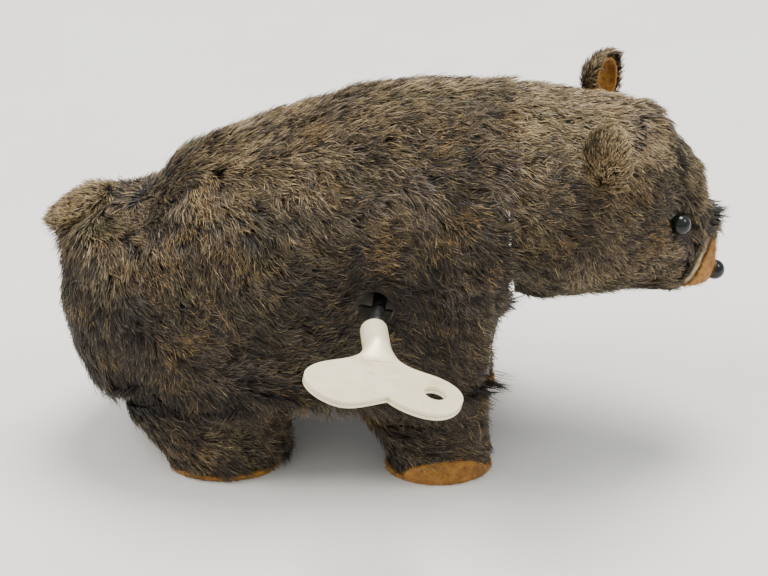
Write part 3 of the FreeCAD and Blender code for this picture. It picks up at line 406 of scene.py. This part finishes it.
def grow(points, out, flow, length, width, lift, pull, clump):
    """Strands as four stations from root to tip: they rise, bend over along flow and gather into tufts."""
    count = len(points)
    centres = max(count // clump, 1)
    tree = KDTree(centres)
    for index in range(centres):
        tree.insert(points[index], index)
    tree.balance()
    mates = np.array([tree.find(p)[1] for p in points])

    side = unit(np.cross(out, flow))
    turn = np.radians(RANDOM.normal(0, 12, count) + RANDOM.normal(0, 14, count)[mates])[:, None]
    flow = unit(flow * np.cos(turn) + side * np.sin(turn))
    side = unit(np.cross(out, flow))
    rise = (lift * (1 + RANDOM.normal(0, 0.3, count) + RANDOM.normal(0, 0.2, count)[mates]))[:, None]
    curl = (RANDOM.normal(0, 0.18, count) + RANDOM.normal(0, 0.12, count)[mates])[:, None]
    length = (length * np.clip(RANDOM.normal(1, 0.2, count), 0.45, 1.5))[:, None]

    steps = [0.0, 0.36, 0.7, 1.0]
    line = []
    for t in steps:
        up = rise * (2.2 * t - 1.2 * t * t)
        line.append(points + length * (flow * t * (1 - 0.12 * t) + side * curl * t * t + out * up))
    line = np.stack(line, axis=1)
    gather = (line[mates, -1] - line[:, -1]) * pull
    near = np.linalg.norm(points[mates] - points, axis=1) < np.median(length)
    gather *= near[:, None]
    for station, t in enumerate(steps):
        line[:, station] += gather * t**2
    line[:, :, 2] = np.maximum(line[:, :, 2], FLOOR_CLEAR)

    lean = np.radians(RANDOM.uniform(-55, 55, count))[:, None]
    across = unit(side * np.cos(lean) + out * np.sin(lean)) * (width / 2)
    return line, across[:, None, :] * np.ones((1, 4, 1)) * RANDOM.uniform(0.75, 1.3, (count, 1, 1))


def strand_mesh(name, line, across, tones, mats):
    """Blades of three faces that narrow to a point."""
    count = len(line)
    shape = np.array([0.8, 1.0, 0.72])[None, :, None]
    left = line[:, :3] - across[:, :3] * shape
    right = line[:, :3] + across[:, :3] * shape
    rows = np.empty((count, 7, 3))
    rows[:, 0:6:2], rows[:, 1:6:2], rows[:, 6] = left, right, line[:, 3]
    base = (np.arange(count) * 7)[:, None]
    loops = np.concatenate([base + [0, 1, 3, 2], base + [2, 3, 5, 4], base + [4, 5, 6]], axis=1).ravel()
    starts = ((np.arange(count) * 11)[:, None] + [0, 4, 8]).ravel()
    mesh = bpy.data.meshes.new(name)
    mesh.vertices.add(count * 7)
    mesh.vertices.foreach_set("co", rows.ravel())
    mesh.loops.add(len(loops))
    mesh.loops.foreach_set("vertex_index", loops)
    mesh.polygons.add(count * 3)
    mesh.polygons.foreach_set("loop_start", starts)
    for mat in mats:
        mesh.materials.append(mat)
    mesh.polygons.foreach_set("material_index", tones.ravel())
    mesh.update(calc_edges=True)
    mesh.validate()
    return add(name, mesh)


# ---------------------------------------------------------------- the way the pile lies


def turned(points, out, angle_degrees):
    """The direction at an angle above +X in the side view, laid onto the surface."""
    angle = np.radians(angle_degrees)
    aim = np.stack([np.cos(angle), np.zeros(len(points)), np.sin(angle)], axis=1)
    return unit(aim - (aim * out).sum(axis=1, keepdims=True) * out)


def smoothstep(value, start, end):
    t = np.clip((value - start) / (end - start), 0, 1)
    return t * t * (3 - 2 * t)


def body_flow(points, out):
    """Down over the rump, forward round the haunch and along the flank, and down at the skirt."""
    x, _, z = bear(points).T
    angle = np.interp(x, [-80, -66, -50, -30, 0, 28], [-100, -84, -52, -26, -18, -32])
    angle += 30 * smoothstep(-z, -46, -26) * smoothstep(x, -55, -32) * smoothstep(-x, 4, 24)
    angle += 64 * field(points, 24 * MM, 11) + 44 * field(points, 8 * MM, 12)
    angle += 0.7 * (-84 - angle) * smoothstep(-z, -33, -27)
    return turned(points, out, angle)


def head_flow(points, out):
    """Forward and down over the cheeks, forward along the brow."""
    x, _, z = bear(points).T
    angle = np.interp(z, [45, 60, 80, 92], [-26, -44, -30, -8])
    angle += 54 * field(points, 20 * MM, 13) + 40 * field(points, 7 * MM, 14)
    return turned(points, out, angle)


def leg_flow(points, out):
    """Forward and down, and straight down over the edge of the sole."""
    z = bear(points)[:, 2]
    angle = -42 + 70 * field(points, 16 * MM, 15) + 44 * field(points, 6 * MM, 16)
    angle += (-88 - angle) * smoothstep(-z, -7.0, -3.0)
    return turned(points, out, angle)


def ear_flow(points, out):
    """Up towards the ear's rim."""
    return turned(points, out, 62 + 50 * field(points, 5 * MM, 17))


def tail_flow(points, out):
    """Back along the flap."""
    return turned(points, out, 188 + 60 * field(points, 7 * MM, 18))


# ---------------------------------------------------------------- how long, light and thick the pile is

# Each ..._scale function gives three values for each point: the share of the full length, the brightness, and
# how many millimetres the coat swells outward. HOLE is the x and z of the key's hole.
# HOLE_RADIUS and EYE_RADIUS are in millimetres too.
HOLE = (-1.3, 50.4)
HOLE_RADIUS = 4.7
EYE_RADIUS = 2.4


def lit_above(out):
    """Painted light: the back and the crown are made lighter where the surface looks up, as if lit from above."""
    return 1.1 * smoothstep(out[:, 2], 0.3, 0.95)


def from_place(points, x, y, z):
    """Each point's distance from a place on the bear, in millimetres."""
    return np.linalg.norm(bear(points) - np.array([x, y, z]), axis=1)


def body_scale(points, out):
    """Long at the neck and the skirt, to close over the gaps, and none in the key's hole."""
    x, y, z = bear(points).T
    front = (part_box("body_fur")[1].x - ZERO.x) / MM
    scale = 1.3 - 0.3 * smoothstep(front - x, 1.0, 6.0)
    scale *= 1 + 0.3 * smoothstep(-z, -31.0, -26.0)
    hole = np.hypot(x - HOLE[0], z - HOLE[1]) + np.where(y > 0, 100, 0)
    scale *= smoothstep(hole, HOLE_RADIUS - 0.2, HOLE_RADIUS + 3.0)
    swell = 1.7 * smoothstep(out[:, 2], 0.4, 0.9) * smoothstep(-x, -14.0, 8.0)
    swell += 2.6 * smoothstep(-x, 62.0, 72.0) * smoothstep(-out[:, 2], -0.1, 0.4)
    # Brightness: lit_above's painted light, the body's own darker tone, and painted shade that darkens the pile
    # low on the flanks and at the skirt.
    return scale, lit_above(out) - 0.42 - 0.35 * smoothstep(-z, -36, -24), swell


def head_scale(points, out):
    """None on the eyes, short along the face's felt, and darkened round the eyes as painted shade in their
    hollows.
    """
    scale = np.ones(len(points))
    bright = lit_above(out) + 0.1
    for side in SIDES:
        low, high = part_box(f"{side}_eye")
        eye = bear(np.array((low + high) / 2))
        away = from_place(points, *eye)
        scale *= smoothstep(away, EYE_RADIUS - 0.2, EYE_RADIUS + 4.5)
        # Painted shade: the pile darkens in the hollow round each sunken eye.
        bright -= 0.6 * (1 - smoothstep(away, EYE_RADIUS, EYE_RADIUS + 3.0))
    felt = bear(np.array(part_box("mouth_edge_felt")[0]))
    x, _, z = bear(points).T
    back = (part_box("head_fur")[0].x - ZERO.x) / MM
    scale *= 0.7 + 0.3 * smoothstep(x - back, 0.5, 5.0)
    scale *= 1 - 0.6 * smoothstep(x, felt[0] - 3.0, felt[0] + 2.0) * smoothstep(-z, -60, -54)
    swell = 2.6 * smoothstep(x, 62.0, 70.0) * smoothstep(out[:, 2], 0.2, 0.7)
    swell += 1.2 * smoothstep(out[:, 2], 0.5, 0.9) * smoothstep(x, 56.0, 62.0)
    return scale, bright, swell


def leg_scale(points, out):
    """A little shorter down at the front soles, and long enough to hide the rear ones."""
    x, _, z = bear(points).T
    scale = 0.75 + 0.25 * smoothstep(z, 1.0, 6.0)
    scale += np.where(x < -15, 0.5, 0.0) * smoothstep(-z, -8.0, -3.0)
    # Painted shade: the legs' pile is made darker, as they stand in the shade under the body.
    return scale, np.full(len(points), -0.35), np.zeros(len(points))


def ear_scale(points, out):
    """Even and light."""
    return np.ones(len(points)), np.full(len(points), 1.1), np.zeros(len(points))


def tail_scale(points, out):
    """Even and lightest of all."""
    return np.ones(len(points)), np.full(len(points), 1.3), np.zeros(len(points))


# ---------------------------------------------------------------- pieces

def lumps(points):
    """How far matting lifts or sinks the pile at each point."""
    return (1.1 * field(points, 11 * MM, 21) + 0.6 * field(points, 4.5 * MM, 22))[:, None] * MM


def pile_piece(name, triangles, density, flow_of, scale_of, length, width, lift, shade, sunk=PILE_SUNK):
    """A piece of pile on triangles: density in strands to the square millimetre."""
    count = min(int(area_of(triangles) / MM**2 * density), MOST_STRANDS)
    points, out = scatter(triangles, count)
    scale, bright, swell = scale_of(points, out)
    kept = scale > LEAST_SCALE
    points, out, scale, bright, swell = (values[kept] for values in (points, out, scale, bright, swell))
    lift_out = lumps(points) * min(1.0, sunk / PILE_SUNK) + swell[:, None] * MM
    points = points + out * (lift_out - sunk)
    flow = flow_of(points, out)
    line, across = grow(points, out, flow, length * scale, width, lift, TUFT_PULL, TUFT_STRANDS)
    return strand_mesh(name, line, across, choose_tones(points, bright + shade), TONES)


def spine(node, back, ahead, height):
    """The line inside a node along X, drawn in from its box by back and ahead."""
    low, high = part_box(node)
    z = low.z + (high.z - low.z) * height
    middle = (low.y + high.y) / 2
    return (low.x + back, middle, z), (high.x - ahead, middle, z)


def dress(node, body, triangles, piles, sunk=PILE_SUNK):
    """The cloth of a fur node and its pile: they ride on body and replace the node."""
    skin = make_skin(f"{node}_cloth", triangles, sunk, CLOTH)
    for piece in [skin, *piles]:
        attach(piece, body)
    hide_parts(node)


def bands(triangles, edges):
    """Triangles in bands along X, split at edges in millimetres along the bear."""
    x = bear(triangles.mean(axis=1))[:, 0]
    limits = [-np.inf, *edges, np.inf]
    return [triangles[(x > low) & (x <= high)] for low, high in zip(limits, limits[1:])]


def make_body():
    line = spine("body_fur", 22 * MM, 0, 0.42)
    triangles, rooted = outside("body_fur", *line), outside("body_fur", *line, ROOTED)
    side_of = rooted.mean(axis=1)[:, 1] - ZERO.y
    coat = (body_flow, body_scale, 4.8 * MM, 0.42 * MM, 0.14, -0.8)
    piles = [pile_piece("body_undercoat", rooted, 1.5, *coat)]
    for side, sign in SIDES.items():
        for number, band in enumerate(bands(rooted[side_of * sign > 0], (-46, -18, 4))):
            name = f"body_pile_{side}_{number}"
            piles.append(pile_piece(name, band, 8.0, body_flow, body_scale, 5.4 * MM, 0.15 * MM, 0.2, 0.0))
    dress("body_fur", "body", triangles, piles)


def make_head():
    line = spine("head_fur", 0, 18 * MM, 0.5)
    triangles, rooted = outside("head_fur", *line), outside("head_fur", *line, ROOTED)
    coat = (head_flow, head_scale, 4.2 * MM, 0.42 * MM, 0.14, -0.8)
    piles = [pile_piece("head_undercoat", rooted, 1.5, *coat)]
    for number, band in enumerate(bands(rooted, (38, 50, 62))):
        name = f"head_pile_{number}"
        piles.append(pile_piece(name, band, 8.0, head_flow, head_scale, 4.6 * MM, 0.15 * MM, 0.2, 0.0))
    dress("head_fur", "head", triangles, piles)


def make_legs():
    for leg in LEGS:
        node = f"{leg}_fur"
        low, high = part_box(node)
        middle = (low + high) / 2
        line = ((middle.x, middle.y, low.z - 5 * MM), (middle.x, middle.y, high.z + 5 * MM))
        triangles, rooted = outside(node, *line), outside(node, *line, ROOTED)
        undercoat = (leg_flow, leg_scale, 4.2 * MM, 0.42 * MM, 0.14, -0.8)
        top_coat = (leg_flow, leg_scale, 4.6 * MM, 0.15 * MM, 0.22, 0.0)
        piles = [
            pile_piece(f"{leg}_undercoat", rooted, 1.6, *undercoat),
            pile_piece(f"{leg}_pile", rooted, 8.0, *top_coat),
        ]
        dress(node, leg, triangles, piles)


def make_tail():
    low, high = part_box("tail_flap")
    middle = (low + high) / 2
    triangles = outside("tail_flap", middle, middle)
    undercoat = (tail_flow, tail_scale, 2.6 * MM, 0.36 * MM, 0.3, -0.2, 0.9 * MM)
    top_coat = (tail_flow, tail_scale, 3.0 * MM, 0.15 * MM, 0.4, 0.5, 0.9 * MM)
    piles = [
        pile_piece("tail_undercoat", triangles, 2.0, *undercoat),
        pile_piece("tail_pile", triangles, 9.0, *top_coat),
    ]
    dress("tail_flap", "body", triangles, piles, 0.9 * MM)


def make_ears():
    for side, sign in SIDES.items():
        node = f"{side}_ear"
        middle = at(52.5, sign * 21.0, 84.0)
        triangles = outside(node, middle, middle)
        undercoat = (ear_flow, ear_scale, 2.2 * MM, 0.3 * MM, 0.3, -0.5, 0.8 * MM)
        top_coat = (ear_flow, ear_scale, 2.8 * MM, 0.14 * MM, 0.35, 0.0, 0.8 * MM)
        piles = [
            pile_piece(f"{node}_undercoat", triangles, 3.0, *undercoat),
            pile_piece(f"{node}_pile", triangles, 11.0, *top_coat),
        ]
        dress(node, "head", triangles, piles, 0.8 * MM)


# ---------------------------------------------------------------- felt


def soften(piece, voxel, uneven):
    """Rounds a solid's edges and gives its surface the unevenness of pressed wool."""
    remesh = piece.modifiers.new("remesh", "REMESH")
    remesh.mode = "VOXEL"
    remesh.voxel_size = voxel
    smooth = piece.modifiers.new("smooth", "SMOOTH")
    smooth.iterations = 3
    solid = bpy.data.meshes.new_from_object(piece.evaluated_get(bpy.context.evaluated_depsgraph_get()))
    piece.modifiers.clear()
    piece.data = solid
    count = len(solid.vertices)
    points, normals = np.empty(count * 3), np.empty(count * 3)
    solid.vertices.foreach_get("co", points)
    solid.vertices.foreach_get("normal", normals)
    points, normals = points.reshape(-1, 3), normals.reshape(-1, 3)
    push = uneven * (field(points, 1.6 * MM, 31) + 0.7 * field(points, 0.7 * MM, 32))
    points += normals * push[:, None]
    points[:, 2] = np.maximum(points[:, 2], 0.0)
    solid.vertices.foreach_set("co", points.ravel())
    solid.polygons.foreach_set("use_smooth", [True] * len(solid.polygons))
    solid.update()


def plain_tones(name, colours):
    return [
        material(f"{name}_{number}", {"Base Color": rgb, "Roughness": 0.7, "Specular IOR Level": 0.2})
        for number, rgb in enumerate(colours)
    ]


def wool(name, triangles, tone_list, length=0.7 * MM, density=7.0):
    """Loose fibres standing on felt."""
    points, out = scatter(triangles, int(area_of(triangles) / MM**2 * density))
    flow = turned(points, out, 360 * field(points, 2 * MM, 33))
    lengths = np.full(len(points), length)
    line, across = grow(points - out * 0.15 * MM, out, flow, lengths, 0.06 * MM, 0.7, 0.2, 5)
    tones = RANDOM.integers(0, len(tone_list), (len(points), 1)) * np.ones((1, 3), int)
    return strand_mesh(name, line, across, tones, tone_list)


def felt_piece(node, body, mat, wool_tones, voxel):
    """A felt node softened, with loose fibres, riding on body in the node's place."""
    mesh = frame["nodes"][node].data.copy()
    mesh.materials.clear()
    piece = add(f"{node}_cloth", mesh)
    soften(piece, voxel, 0.16 * MM)
    piece.data.materials.clear()
    piece.data.materials.append(mat)
    fibres = wool(f"{node}_fibres", corners(node), wool_tones)
    for part in (piece, fibres):
        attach(part, body)
    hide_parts(node)


def make_felt_pieces():
    tan = make_felt("felt_tan", (184, 130, 52), (126, 84, 32), (86, 54, 22))
    beige = make_felt("felt_beige", (190, 170, 132), (150, 130, 96), (120, 96, 62))
    tan_wool = plain_tones("wool_tan", [(188, 138, 64), (140, 96, 42)])
    beige_wool = plain_tones("wool_beige", [(200, 182, 146), (160, 140, 106)])
    felt_piece("muzzle_felt", "head", tan, tan_wool, 0.4 * MM)
    felt_piece("mouth_edge_felt", "head", beige, beige_wool, 0.35 * MM)
    for side in SIDES:
        felt_piece(f"{side}_ear_lining", "head", tan, tan_wool, 0.25 * MM)
    for leg in LEGS:
        node = leg.replace("_leg", "_sole")
        felt_piece(node, leg, tan, tan_wool, 0.4 * MM)


# ---------------------------------------------------------------- metal and glass


def paint_hard_parts():
    tin = make_metal("tin_plate", (150, 146, 138), (96, 92, 86), (92, 62, 40), (0.32, 0.55))
    finishes = {
        "tin_plate": tin,
        "steel_rod": make_metal("steel_rod", (168, 168, 170), (120, 120, 122), (90, 66, 48), (0.22, 0.4)),
        "spring_steel": make_metal("spring_steel", (92, 98, 112), (54, 58, 68), (60, 46, 40), (0.2, 0.38)),
        "brass_wheels": make_metal("brass", (196, 160, 88), (150, 116, 56), (96, 74, 40), (0.25, 0.45)),
        "key_plate": make_key_finish(),
        "eye_glass": make_glass("eye_glass", (10, 14, 12), (22, 30, 24)),
        "nose_glass": make_glass("nose_glass", (8, 12, 12), (20, 28, 26)),
    }
    for part in frame["record"]["subparts"]:
        if part["material_slot"] in finishes:
            paint(part["node"], finishes[part["material_slot"]])


# ---------------------------------------------------------------- build

make_camera()
make_light()
make_floor()

CLOTH = make_cloth()
TONES = make_tones()
make_body()
make_head()
make_legs()
make_tail()
make_ears()
make_felt_pieces()
paint_hard_parts()
